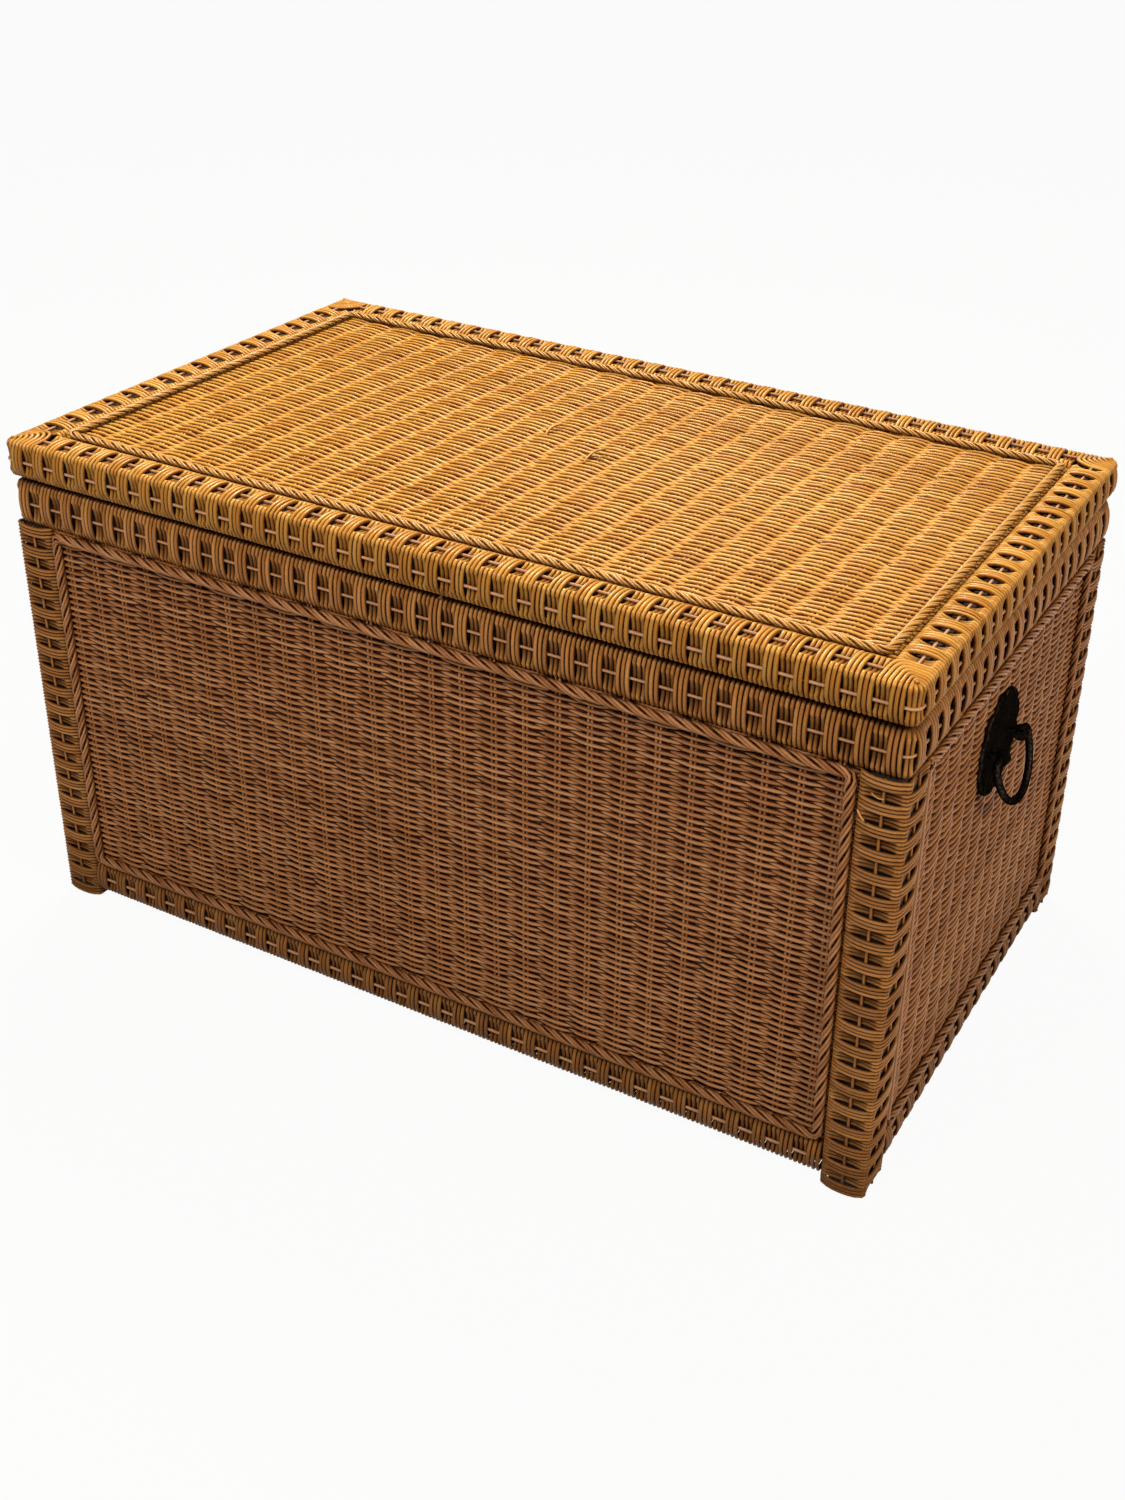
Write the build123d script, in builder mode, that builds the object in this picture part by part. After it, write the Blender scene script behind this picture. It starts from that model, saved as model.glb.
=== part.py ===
"""Wicker trunk: a frame of sticks wrapped in reed, woven panels, a hinged lid and two bail handles.

Millimetres. The origin is the bottom centre of the trunk's feet, +Z is up, +X runs along the
trunk's length, and the front is at -Y. Reed work is drawn as plain sleeves, plates and strips.
"""

from build123d import *
from math import cos, radians, sin
import os

# Overall sizes of the body and the lid
body_length = 856
body_depth = 494
body_height = 440.7
lid_height = 38
lid_end_overhang = 2
lid_front_overhang = 3
lid_clearance = 0.3
foot_height = 10
foot_tip = 1

# Frame members, outside their wrapping
post_width = 41
post_depth = 44
top_rail_height = 42.7
top_rail_depth = 34
bottom_rail_height = 33
bottom_rail_depth = 34
lid_rail_width = 37
wrap_wall = 4.5
wrap_edge = 4.2

# Woven panels and the braids that cover their edges
panel_thickness = 7
panel_recess = 4
long_panel_ribs = 26
lid_panel_ribs = 25
rib_height = 2.1
rib_sink = 0.3
floor_thickness = 7
floor_lift = 6
lid_panel_recess = 4.6
braid_width = 11
braid_thickness = 5
braid_edge = 1.8
end_cord_width = 6

# Handles: a round plate, two eyes and a bail on each end
plate_radius = 47
plate_thickness = 2.5
plate_bevel = 1
plate_notch_radius = 3.5
plate_notch_count = 12
handle_shift = -22
plate_top_gap = 21
pivot_standoff = 9.5
eye_spacing = 47
eye_radius = 6.5
eye_width = 6
eye_leg_width = 5
eye_leg_thickness = 3.2
eye_leg_turn = 14
eye_leg_foot = 1.6
bail_rod_radius = 3.3
bail_radius = 39.5
bail_corner = 6
bail_leg = 1.5
bail_tail = 6.5
bail_lift_angle = 16
pivot_clearance = 0.05
slot_clearance = 0.1

# Butt hinges on the back, with their knuckles over the joint between body and lid
hinge_offset = 250
leaf_width = 50
leaf_height = 24
leaf_thickness = 1.6
knuckle_radius = 3.2
knuckle_count = 5
knuckle_gap = 0.3
hinge_pin_radius = 1.5
hinge_pin_head = 1.2
hinge_pin_head_radius = 2.4
screw_radius = 1.3
screw_length = 18
screw_head_radius = 3.2
screw_head_height = 1.4
screw_spacing = 17

# Faces that the pieces share
half_length = body_length / 2
half_depth = body_depth / 2
post_inner_x = half_length - post_width
post_inner_y = half_depth - post_depth
top_rail_base = body_height - top_rail_height
bottom_rail_top = foot_height + bottom_rail_height
lid_base = body_height + lid_clearance
lid_top = lid_base + lid_height
lid_half_length = half_length + lid_end_overhang
lid_front = -half_depth - lid_front_overhang
lid_back = half_depth
lid_inner_x = lid_half_length - lid_rail_width
lid_inner_front = lid_front + lid_rail_width
lid_inner_back = lid_back - lid_rail_width
panel_face_y = half_depth - panel_recess
panel_face_x = half_length - panel_recess
lid_panel_top = lid_top - lid_panel_recess
plate_face_x = panel_face_x + plate_thickness
handle_height = top_rail_base - braid_width - plate_top_gap - plate_radius
pivot_x = plate_face_x + pivot_standoff
hinge_y = half_depth + knuckle_radius + lid_clearance
hinge_z = body_height + lid_clearance / 2
leaf_edge = knuckle_radius + knuckle_gap
knuckle_pitch = leaf_width / knuckle_count
eye_bore = bail_rod_radius + pivot_clearance

FRONT_BACK = {"front": -1, "back": 1}
LEFT_RIGHT = {"left": -1, "right": 1}

os.makedirs("parts", exist_ok=True)


def save(piece, name):
    """Label a finished piece and write its file."""
    piece.part.label = name
    export_step(piece.part, f"parts/{name}.step")
    print(name, round(piece.part.volume))


def block(low, high, mode=Mode.ADD):
    """A box between two corners, inside the part that is being built."""
    with BuildSketch(Plane.XY.offset(low[2])) as profile:
        with Locations(((low[0] + high[0]) / 2, (low[1] + high[1]) / 2)):
            Rectangle(high[0] - low[0], high[1] - low[1])
    extrude(profile.sketch, amount=high[2] - low[2], mode=mode)


def ordered(low, high):
    """The same two corners with the smaller value of each axis first."""
    pairs = [sorted(pair) for pair in zip(low, high)]
    return tuple(p[0] for p in pairs), tuple(p[1] for p in pairs)


def inset(low, high, margins):
    """Two corners drawn in by a margin along each axis."""
    inner_low = tuple(a + m for a, m in zip(low, margins))
    inner_high = tuple(b - m for b, m in zip(high, margins))
    return inner_low, inner_high


def outer_member(kind, side, end=0):
    """Corners of a wrapped frame member: its outside, over the reed."""
    if kind == "post":
        low = (side * post_inner_x, end * post_inner_y, foot_tip)
        return ordered(low, (side * half_length, end * half_depth, top_rail_base))
    if kind == "top_long":
        low = (-half_length, side * (half_depth - top_rail_depth), top_rail_base)
        return ordered(low, (half_length, side * half_depth, body_height))
    if kind == "top_end":
        reach = half_depth - top_rail_depth
        low = (side * (half_length - top_rail_depth), -reach, top_rail_base)
        return ordered(low, (side * half_length, reach, body_height))
    if kind == "bottom_long":
        low = (-post_inner_x, side * (half_depth - bottom_rail_depth), foot_height)
        return ordered(low, (post_inner_x, side * half_depth, bottom_rail_top))
    if kind == "bottom_end":
        low = (side * (half_length - bottom_rail_depth), -post_inner_y, foot_height)
        return ordered(low, (side * half_length, post_inner_y, bottom_rail_top))
    if kind == "lid_long":
        near = lid_front if side < 0 else lid_back
        far = lid_inner_front if side < 0 else lid_inner_back
        return ordered((-lid_half_length, near, lid_base), (lid_half_length, far, lid_top))
    low = (side * lid_inner_x, lid_inner_front, lid_base)
    return ordered(low, (side * lid_half_length, lid_inner_back, lid_top))


def stick_member(kind, side, end=0):
    """Corners of the wooden stick inside a wrapped member, long enough to meet its neighbours."""
    low, high = outer_member(kind, side, end)
    if kind == "post":
        low, high = inset(low, high, (wrap_wall, wrap_wall, 0))
        return (low[0], low[1], 0), (high[0], high[1], top_rail_base + wrap_wall)
    if kind in ("top_long", "lid_long"):
        return inset(low, high, (wrap_wall, wrap_wall, wrap_wall))
    if kind == "bottom_long":
        return inset(low, high, (-wrap_wall, wrap_wall, wrap_wall))
    return inset(low, high, (wrap_wall, -wrap_wall, wrap_wall))


def screw_places(direction):
    """Centres of a hinge's screws on one leaf: direction is 1 on the lid and -1 on the body."""
    height = hinge_z + direction * (leaf_edge + leaf_height / 2)
    return [(side * hinge_offset + step * screw_spacing, height) for side in (-1, 1) for step in (-1, 0, 1)]


def drill_screws(direction):
    """Pilot holes for the hinge screws, in the back of the part that is being built."""
    with BuildSketch(Plane.XZ.offset(-half_depth)) as holes:
        with Locations(*screw_places(direction)):
            Circle(screw_radius + slot_clearance)
    extrude(holes.sketch, amount=screw_length + slot_clearance, mode=Mode.SUBTRACT)


def eye_slots(side, start, depth):
    """Slots for the legs of the two eyes, cut along X from the plane x = start towards the inside."""
    places = [(handle_shift + step * eye_spacing / 2, handle_height) for step in (-1, 1)]
    with BuildSketch(Plane.YZ.offset(side * start)) as slots:
        with Locations(*places):
            Rectangle(eye_leg_width + 2 * slot_clearance, eye_leg_thickness + 2 * slot_clearance)
    extrude(slots.sketch, amount=-side * depth, mode=Mode.SUBTRACT)


def rib_valleys(plane, ribs, across, opening, length):
    """Cut a rounded valley on each side of every rib. The plane's x runs across the ribs and its y out of the panel."""
    rib_width = across / ribs
    valley = -rib_sink - rib_height
    with BuildSketch(plane) as valleys:
        with BuildLine():
            for index in range(ribs):
                left = index * rib_width - across / 2
                crown = (left + rib_width / 2, -rib_sink)
                ThreePointArc((left, valley), crown, (left + rib_width, valley))
            Polyline(
                (across / 2, valley),
                (across / 2, panel_thickness),
                (-across / 2, panel_thickness),
                (-across / 2, valley),
            )
        make_face()
        Rectangle(opening, 3 * panel_thickness, mode=Mode.INTERSECT)
    extrude(valleys.sketch, amount=length, mode=Mode.SUBTRACT)


# Every frame member by name, with its kind and side
members = {}
for x_name, x_side in LEFT_RIGHT.items():
    for y_name, y_side in FRONT_BACK.items():
        members[f"post_{{}}_{y_name}_{x_name}"] = ("post", x_side, y_side)
for y_name, y_side in FRONT_BACK.items():
    members[f"top_rail_{{}}_{y_name}"] = ("top_long", y_side, 0)
    members[f"bottom_rail_{{}}_{y_name}"] = ("bottom_long", y_side, 0)
    members[f"lid_rail_{{}}_{y_name}"] = ("lid_long", y_side, 0)
for x_name, x_side in LEFT_RIGHT.items():
    members[f"top_rail_{{}}_{x_name}"] = ("top_end", x_side, 0)
    members[f"bottom_rail_{{}}_{x_name}"] = ("bottom_end", x_side, 0)
    members[f"lid_rail_{{}}_{x_name}"] = ("lid_end", x_side, 0)

GRAIN = {
    "post": Axis.Z,
    "top_long": Axis.X,
    "bottom_long": Axis.X,
    "lid_long": Axis.X,
    "top_end": Axis.Y,
    "bottom_end": Axis.Y,
    "lid_end": Axis.Y,
}

# Wooden sticks of the frame
for pattern, (kind, side, end) in members.items():
    with BuildPart() as stick:
        block(*stick_member(kind, side, end))
        if (kind, side) == ("top_long", 1):
            drill_screws(-1)
        if (kind, side) == ("lid_long", 1):
            drill_screws(1)
    save(stick, pattern.format("stick"))

# Reed wrapping: a sleeve round each stick, open where other sticks pass through it
for pattern, (kind, side, end) in members.items():
    lid_piece = kind.startswith("lid")
    with BuildPart() as wrap:
        block(*outer_member(kind, side, end))
        fillet(wrap.edges().filter_by(GRAIN[kind]), radius=wrap_edge)
        for other_kind, other_side, other_end in members.values():
            if other_kind.startswith("lid") == lid_piece:
                block(*stick_member(other_kind, other_side, other_end), mode=Mode.SUBTRACT)
        if (kind, side) == ("top_long", 1):
            drill_screws(-1)
        if (kind, side) == ("lid_long", 1):
            drill_screws(1)
    save(wrap, pattern.format("wrap"))

# Front and back panels: the weave bulges over each stake, so it has upright ribs inside its braid
panel_height = top_rail_base - bottom_rail_top
for name, side in FRONT_BACK.items():
    low = (-post_inner_x, side * panel_face_y, bottom_rail_top)
    high = (post_inner_x, side * (panel_face_y - panel_thickness), top_rail_base)
    rib_start = bottom_rail_top + braid_width if side > 0 else top_rail_base - braid_width
    rib_plane = Plane(origin=(0, side * panel_face_y, rib_start), x_dir=(1, 0, 0), z_dir=(0, 0, side))
    with BuildPart() as long_panel:
        block(*ordered(low, high))
        rib_valleys(
            rib_plane,
            long_panel_ribs,
            2 * post_inner_x,
            2 * (post_inner_x - braid_width),
            panel_height - 2 * braid_width,
        )
    save(long_panel, f"{name}_panel")

# End panels, with slots for the legs of the handle eyes
for name, side in LEFT_RIGHT.items():
    low = (side * panel_face_x, -post_inner_y, bottom_rail_top)
    high = (side * (panel_face_x - panel_thickness), post_inner_y, top_rail_base)
    with BuildPart() as end_panel:
        block(*ordered(low, high))
        eye_slots(side, panel_face_x, panel_thickness)
    save(end_panel, f"{name}_panel")

# Floor panel, notched round the four posts
floor_reach_x = half_length - bottom_rail_depth
floor_reach_y = half_depth - bottom_rail_depth
floor_base = foot_height + floor_lift
with BuildPart() as floor_panel:
    block((-floor_reach_x, -floor_reach_y, floor_base), (floor_reach_x, floor_reach_y, floor_base + floor_thickness))
    for x_side in LEFT_RIGHT.values():
        for y_side in FRONT_BACK.values():
            block(*outer_member("post", x_side, y_side), mode=Mode.SUBTRACT)
save(floor_panel, "floor_panel")

# Lid panel, with ribs from front to back inside its braid
lid_inner_depth = lid_inner_back - lid_inner_front
rib_plane = Plane(origin=(0, lid_inner_back - braid_width, lid_panel_top), x_dir=(1, 0, 0), z_dir=(0, -1, 0))
with BuildPart() as lid_panel:
    block(
        (-lid_inner_x, lid_inner_front, lid_panel_top - panel_thickness),
        (lid_inner_x, lid_inner_back, lid_panel_top),
    )
    rib_valleys(
        rib_plane,
        lid_panel_ribs,
        2 * lid_inner_x,
        2 * (lid_inner_x - braid_width),
        lid_inner_depth - 2 * braid_width,
    )
save(lid_panel, "lid_panel")

# Braids on the long panels: a flat border just inside the frame members
panel_middle = (top_rail_base + bottom_rail_top) / 2
for name, side in FRONT_BACK.items():
    with BuildPart() as long_braid:
        with BuildSketch(Plane.XZ.offset(-side * panel_face_y)):
            with Locations((0, panel_middle)):
                Rectangle(2 * post_inner_x, panel_height)
                Rectangle(2 * (post_inner_x - braid_width), panel_height - 2 * braid_width, mode=Mode.SUBTRACT)
        extrude(amount=-side * braid_thickness)
        fillet(long_braid.faces().sort_by(Axis.Y)[0 if side < 0 else -1].edges(), radius=braid_edge)
    save(long_braid, f"{name}_braid")

# Braids on the end panels, where a single cord runs down the front edge
for name, side in LEFT_RIGHT.items():
    with BuildPart() as end_braid:
        with BuildSketch(Plane.YZ.offset(side * panel_face_x)):
            with Locations((0, panel_middle)):
                Rectangle(2 * post_inner_y, panel_height)
            with Locations(((end_cord_width - braid_width) / 2, panel_middle)):
                Rectangle(
                    2 * post_inner_y - end_cord_width - braid_width,
                    panel_height - 2 * braid_width,
                    mode=Mode.SUBTRACT,
                )
        extrude(amount=side * braid_thickness)
        fillet(end_braid.faces().sort_by(Axis.X)[0 if side < 0 else -1].edges(), radius=braid_edge)
    save(end_braid, f"{name}_braid")

# Braid round the lid panel
lid_middle_y = (lid_inner_front + lid_inner_back) / 2
with BuildPart() as lid_braid:
    with BuildSketch(Plane.XY.offset(lid_panel_top)):
        with Locations((0, lid_middle_y)):
            Rectangle(2 * lid_inner_x, lid_inner_depth)
            Rectangle(2 * (lid_inner_x - braid_width), lid_inner_depth - 2 * braid_width, mode=Mode.SUBTRACT)
    extrude(amount=braid_thickness)
    fillet(lid_braid.faces().sort_by(Axis.Z)[-1].edges(), radius=braid_edge)
save(lid_braid, "lid_braid")

# Handle plates: scalloped iron discs against the end panels
for name, side in LEFT_RIGHT.items():
    with BuildPart() as handle_plate:
        with BuildSketch(Plane.YZ.offset(side * panel_face_x)):
            with Locations((handle_shift, handle_height)):
                Circle(plate_radius)
                with PolarLocations(plate_radius, plate_notch_count):
                    Circle(plate_notch_radius, mode=Mode.SUBTRACT)
        extrude(amount=side * plate_thickness)
        chamfer(handle_plate.faces().sort_by(Axis.X)[0 if side < 0 else -1].edges(), length=plate_bevel)
        eye_slots(side, plate_face_x, plate_thickness)
    save(handle_plate, f"handle_plate_{name}")

# Handle eyes: a ring on a flat leg that goes through plate and panel and is bent over inside
leg_end_x = panel_face_x - panel_thickness - eye_leg_foot
for name, side in LEFT_RIGHT.items():
    with BuildPart() as handle_eyes:
        for step in (-1, 1):
            eye_y = handle_shift + step * eye_spacing / 2
            with BuildSketch(Plane.XZ.offset(-eye_y - eye_width / 2)):
                with Locations((side * pivot_x, handle_height)):
                    Circle(eye_radius)
            extrude(amount=eye_width)
            leg_low = (side * leg_end_x, eye_y - eye_leg_width / 2, handle_height - eye_leg_thickness / 2)
            leg_high = (side * pivot_x, eye_y + eye_leg_width / 2, handle_height + eye_leg_thickness / 2)
            block(*ordered(leg_low, leg_high))
            foot_low = (side * leg_end_x, eye_y - eye_leg_width / 2, handle_height - eye_leg_turn)
            foot_high = (
                side * (leg_end_x + eye_leg_foot),
                eye_y + eye_leg_width / 2,
                handle_height + eye_leg_turn,
            )
            block(*ordered(foot_low, foot_high))
            with BuildSketch(Plane.XZ.offset(-eye_y - eye_width / 2)):
                with Locations((side * pivot_x, handle_height)):
                    Circle(eye_bore)
            extrude(amount=eye_width, mode=Mode.SUBTRACT)
    save(handle_eyes, f"handle_eyes_{name}")

# Bails: a near full circle of rod whose ends turn in through the eyes, hanging a little out from the wall
bail_half = bail_radius
tail_start = eye_spacing / 2 - bail_tail
lift = radians(bail_lift_angle)
for name, side in LEFT_RIGHT.items():
    bail_plane = Plane(
        origin=(side * pivot_x, handle_shift, handle_height),
        x_dir=(0, 1, 0),
        z_dir=(-cos(lift), 0, -side * sin(lift)),
    )
    with BuildPart() as handle_bail:
        with BuildLine(bail_plane) as bail_path:
            Line((-tail_start, 0), (bail_corner - bail_half, 0))
            JernArc((bail_corner - bail_half, 0), (-1, 0), bail_corner, -90)
            Line((-bail_half, bail_corner), (-bail_half, bail_corner + bail_leg))
            JernArc((-bail_half, bail_corner + bail_leg), (0, 1), bail_radius, -180)
            Line((bail_half, bail_corner + bail_leg), (bail_half, bail_corner))
            JernArc((bail_half, bail_corner), (0, -1), bail_corner, -90)
            Line((bail_half - bail_corner, 0), (tail_start, 0))
        with BuildSketch(Plane(origin=bail_path.wire() @ 0, z_dir=bail_path.wire() % 0)):
            Circle(bail_rod_radius)
        sweep()
    save(handle_bail, f"handle_bail_{name}")

# Hinges: leaves screwed to the back rails, knuckles in turn on one pin
knuckle_plane = Plane(origin=(0, hinge_y, hinge_z), x_dir=(0, 1, 0), z_dir=(1, 0, 0))
for name, side in LEFT_RIGHT.items():
    left_edge = side * hinge_offset - leaf_width / 2
    for leaf_name, direction in {"body": -1, "lid": 1}.items():
        first_knuckle = 0 if leaf_name == "body" else 1
        own_knuckles = range(first_knuckle, knuckle_count, 2)
        with BuildPart() as leaf:
            plate_low = (left_edge, half_depth, hinge_z + direction * leaf_edge)
            plate_high = (
                left_edge + leaf_width,
                half_depth + leaf_thickness,
                hinge_z + direction * (leaf_edge + leaf_height),
            )
            block(*ordered(plate_low, plate_high))
            for index in own_knuckles:
                start = left_edge + index * knuckle_pitch + knuckle_gap / 2
                stop = start + knuckle_pitch - knuckle_gap
                bridge_low = (start, hinge_y - knuckle_radius, hinge_z)
                bridge_high = (stop, half_depth + leaf_thickness, hinge_z + direction * leaf_edge)
                block(*ordered(bridge_low, bridge_high))
                with BuildSketch(knuckle_plane.offset(start)):
                    Circle(knuckle_radius)
                extrude(amount=stop - start)
            with BuildSketch(knuckle_plane.offset(left_edge)):
                Circle(hinge_pin_radius + pivot_clearance)
            extrude(amount=leaf_width, mode=Mode.SUBTRACT)
            with BuildSketch(Plane.XZ.offset(-half_depth)):
                with Locations(*screw_places(direction)):
                    Circle(screw_radius + slot_clearance)
            extrude(amount=-leaf_thickness, mode=Mode.SUBTRACT)
        save(leaf, f"hinge_{leaf_name}_leaf_{name}")
    with BuildPart() as hinge_pin:
        with BuildSketch(knuckle_plane.offset(left_edge - hinge_pin_head)):
            Circle(hinge_pin_head_radius)
        extrude(amount=hinge_pin_head)
        with BuildSketch(knuckle_plane.offset(left_edge)):
            Circle(hinge_pin_radius)
        extrude(amount=leaf_width)
        with BuildSketch(knuckle_plane.offset(left_edge + leaf_width)):
            Circle(hinge_pin_head_radius)
        extrude(amount=hinge_pin_head)
    save(hinge_pin, f"hinge_pin_{name}")

# Hinge screws, from the leaf into the stick behind it
for leaf_name, direction in {"body": -1, "lid": 1}.items():
    with BuildPart() as screws:
        with BuildSketch(Plane.XZ.offset(-half_depth - leaf_thickness)):
            with Locations(*screw_places(direction)):
                Circle(screw_radius)
        extrude(amount=screw_length)
        with BuildSketch(Plane.XZ.offset(-half_depth - leaf_thickness)):
            with Locations(*screw_places(direction)):
                Circle(screw_head_radius)
        extrude(amount=-screw_head_height)
        fillet(screws.faces().filter_by(Axis.Y).group_by(Axis.Y)[-1].edges(), radius=screw_head_height / 2)
    save(screws, f"hinge_{leaf_name}_screws")
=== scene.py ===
# %% [markdown]
# A wicker trunk. A frame of wrapped poles holds woven panels, a lid turns on two iron hinges,
# and an iron bail handle hangs on each end. The imported model gives every pole, panel and
# fitting its place, so the first step is to load it.

# %% Load the imported model
import math

import bmesh
import bpy
import numpy as np
from mathutils import Matrix, Vector


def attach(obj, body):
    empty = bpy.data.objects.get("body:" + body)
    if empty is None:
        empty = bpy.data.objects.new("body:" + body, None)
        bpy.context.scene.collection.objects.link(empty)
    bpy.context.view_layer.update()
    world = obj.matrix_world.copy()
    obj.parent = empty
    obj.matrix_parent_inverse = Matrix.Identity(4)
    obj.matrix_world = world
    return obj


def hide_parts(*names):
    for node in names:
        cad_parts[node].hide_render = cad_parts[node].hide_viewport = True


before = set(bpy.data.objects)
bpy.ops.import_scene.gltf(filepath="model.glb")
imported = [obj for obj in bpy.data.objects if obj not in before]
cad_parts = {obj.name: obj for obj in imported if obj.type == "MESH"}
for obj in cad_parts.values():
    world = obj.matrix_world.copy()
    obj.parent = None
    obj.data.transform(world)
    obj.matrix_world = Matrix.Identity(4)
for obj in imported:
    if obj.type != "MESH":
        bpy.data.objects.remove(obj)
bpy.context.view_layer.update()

# %% [markdown]
# The photograph looks down on the front right corner. A camera is its place, the way it is
# turned, and its lens. The lens shift moves the picture without turning the camera, because
# the photograph was cropped a little off its middle.

# %% Camera
camera_data = bpy.data.cameras.new("camera")
camera = bpy.data.objects.new("camera", camera_data)
bpy.context.scene.collection.objects.link(camera)
bpy.context.scene.camera = camera

CAMERA_PLACE = Vector((0.764307, -1.298490, 1.080515))
YAW, PITCH, ROLL = math.radians(-27.489), math.radians(28.549), math.radians(1.940)
ahead = Vector((math.sin(YAW) * math.cos(PITCH), math.cos(YAW) * math.cos(PITCH),
                -math.sin(PITCH)))
level = Vector((math.cos(YAW), -math.sin(YAW), 0.0))
above = level.cross(ahead)
right_way = level * math.cos(ROLL) + above * math.sin(ROLL)
up_way = above * math.cos(ROLL) - level * math.sin(ROLL)
turn = Matrix((right_way, up_way, -ahead)).transposed().to_4x4()
camera.matrix_world = Matrix.Translation(CAMERA_PLACE) @ turn
camera_data.sensor_width = 36.0
camera_data.lens = 43.74
camera_data.shift_x = -0.0583
camera_data.shift_y = -0.0567
camera_data.clip_start = 0.05
camera_data.clip_end = 60.0
print("camera at", [round(v, 3) for v in CAMERA_PLACE])

# %% [markdown]
# Materials are built from nodes. One small helper places a node and fills in its settings and
# its input sockets, so that the cells below read as a list of what each finish is made of.
# Two more make the sums and the noise that the finishes need.

# %% Node helpers
def put_node(tree, kind, sockets=None, **settings):
    made = tree.nodes.new(kind)
    for key, value in settings.items():
        setattr(made, key, value)
    for key, value in (sockets or {}).items():
        if isinstance(value, bpy.types.NodeSocket):
            tree.links.new(value, made.inputs[key])
        else:
            made.inputs[key].default_value = value
    return made


def paint(red, green, blue):
    """A colour written 0 to 255, as on a paint chart, in the light values that Blender uses."""
    straight = []
    for value in (red, green, blue):
        share = value / 255
        straight.append(share / 12.92 if share <= 0.04045 else ((share + 0.055) / 1.055) ** 2.4)
    return (*straight, 1.0)


def calculate(tree, operation, *values, **settings):
    """The outcome of one sum on two or three values, each a number or a socket."""
    return put_node(tree, "ShaderNodeMath", dict(enumerate(values)), operation=operation,
                    **settings).outputs[0]


def noise(tree, vector, scale, detail, **settings):
    """A smooth noise, read at a vector."""
    return put_node(tree, "ShaderNodeTexNoise", {
        "Vector": vector, "Scale": scale, "Detail": detail}, **settings).outputs["Fac"]


print("amber in light values", [round(v, 3) for v in paint(196, 132, 60)])

# %% [markdown]
# Studio light comes from three soft round lamps. The key lamp hangs above and behind the trunk,
# left of its middle, so the lid is the brightest face and its reeds catch small highlights.
# The front lamp lights the long wall from above, and the right lamp, the warmest, the end wall.
# The world fills the shadows with a warm white, and the camera sees a white background.

# %% Light and world
LAMP_SIZE = 0.7
LAMPS = {
    # name: (place, aim, watts, colour)
    "key_lamp": ((-0.8, 1.1, 2.2), (0.0, 0.0, 0.3), 52.0, (1.0, 0.95, 0.86)),
    "front_lamp": ((-0.3, -1.5, 2.3), (0.0, -0.1, 0.2), 34.0, (1.0, 0.94, 0.86)),
    "right_lamp": ((2.2, -0.7, 1.9), (0.3, 0.0, 0.2), 33.0, (1.0, 0.88, 0.68)),
}


def soft_lamp(name, place, aim, watts, colour):
    lamp = bpy.data.lights.new(name, "AREA")
    lamp.shape = "DISK"
    lamp.size = LAMP_SIZE
    lamp.energy = watts
    lamp.color = colour
    holder = bpy.data.objects.new(name, lamp)
    way = Vector(aim) - Vector(place)
    aimed = way.to_track_quat("-Z", "Y").to_matrix().to_4x4()
    holder.matrix_world = Matrix.Translation(Vector(place)) @ aimed
    bpy.context.scene.collection.objects.link(holder)


for name, (place, aim, watts, colour) in LAMPS.items():
    soft_lamp(name, place, aim, watts, colour)

world = bpy.data.worlds.new("studio")
bpy.context.scene.world = world
world.use_nodes = True
air = world.node_tree
air.nodes.clear()
ray = put_node(air, "ShaderNodeLightPath")
seen = calculate(air, "MAXIMUM", ray.outputs["Is Camera Ray"], ray.outputs["Is Transmission Ray"])
fill = put_node(air, "ShaderNodeBackground", {"Color": (1.0, 0.93, 0.83, 1.0), "Strength": 0.27})
white = put_node(air, "ShaderNodeBackground", {"Color": (1.0, 1.0, 1.0, 1.0), "Strength": 1.0})
choice = put_node(air, "ShaderNodeMixShader", {
    0: seen, 1: fill.outputs[0], 2: white.outputs[0]})
put_node(air, "ShaderNodeOutputWorld", {"Surface": choice.outputs[0]})
bpy.context.scene.view_settings.view_transform = "Standard"

# %% [markdown]
# The floor is a pale sheet. Seen by the camera it is nearly white by its own colour, and it
# still takes the soft shadow of the trunk.

# %% Floor
def new_material(name):
    made = bpy.data.materials.new(name)
    made.use_nodes = True
    made.node_tree.nodes.clear()
    return made


floor_paint = new_material("floor_paint")
tree = floor_paint.node_tree
path = put_node(tree, "ShaderNodeLightPath")
seen = calculate(tree, "MAXIMUM", path.outputs["Is Camera Ray"], path.outputs["Is Glossy Ray"])
OWN_WHITE = 0.95
share = calculate(tree, "MULTIPLY", seen, OWN_WHITE)
matt = put_node(tree, "ShaderNodeBsdfDiffuse", {"Color": paint(176, 174, 170)})
glow = put_node(tree, "ShaderNodeEmission", {"Color": (1.0, 1.0, 1.0, 1.0), "Strength": 1.0})
mixed = put_node(tree, "ShaderNodeMixShader", {
    0: share, 1: matt.outputs[0], 2: glow.outputs[0]})
put_node(tree, "ShaderNodeOutputMaterial", {"Surface": mixed.outputs[0]})

floor_mesh = bpy.data.meshes.new("floor_sheet")
sheet = bmesh.new()
bmesh.ops.create_grid(sheet, x_segments=1, y_segments=1, size=14.0)
sheet.to_mesh(floor_mesh)
sheet.free()
floor_sheet = bpy.data.objects.new("floor_sheet", floor_mesh)
floor_mesh.materials.append(floor_paint)
bpy.context.scene.collection.objects.link(floor_sheet)
print("floor", floor_sheet.dimensions)
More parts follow.
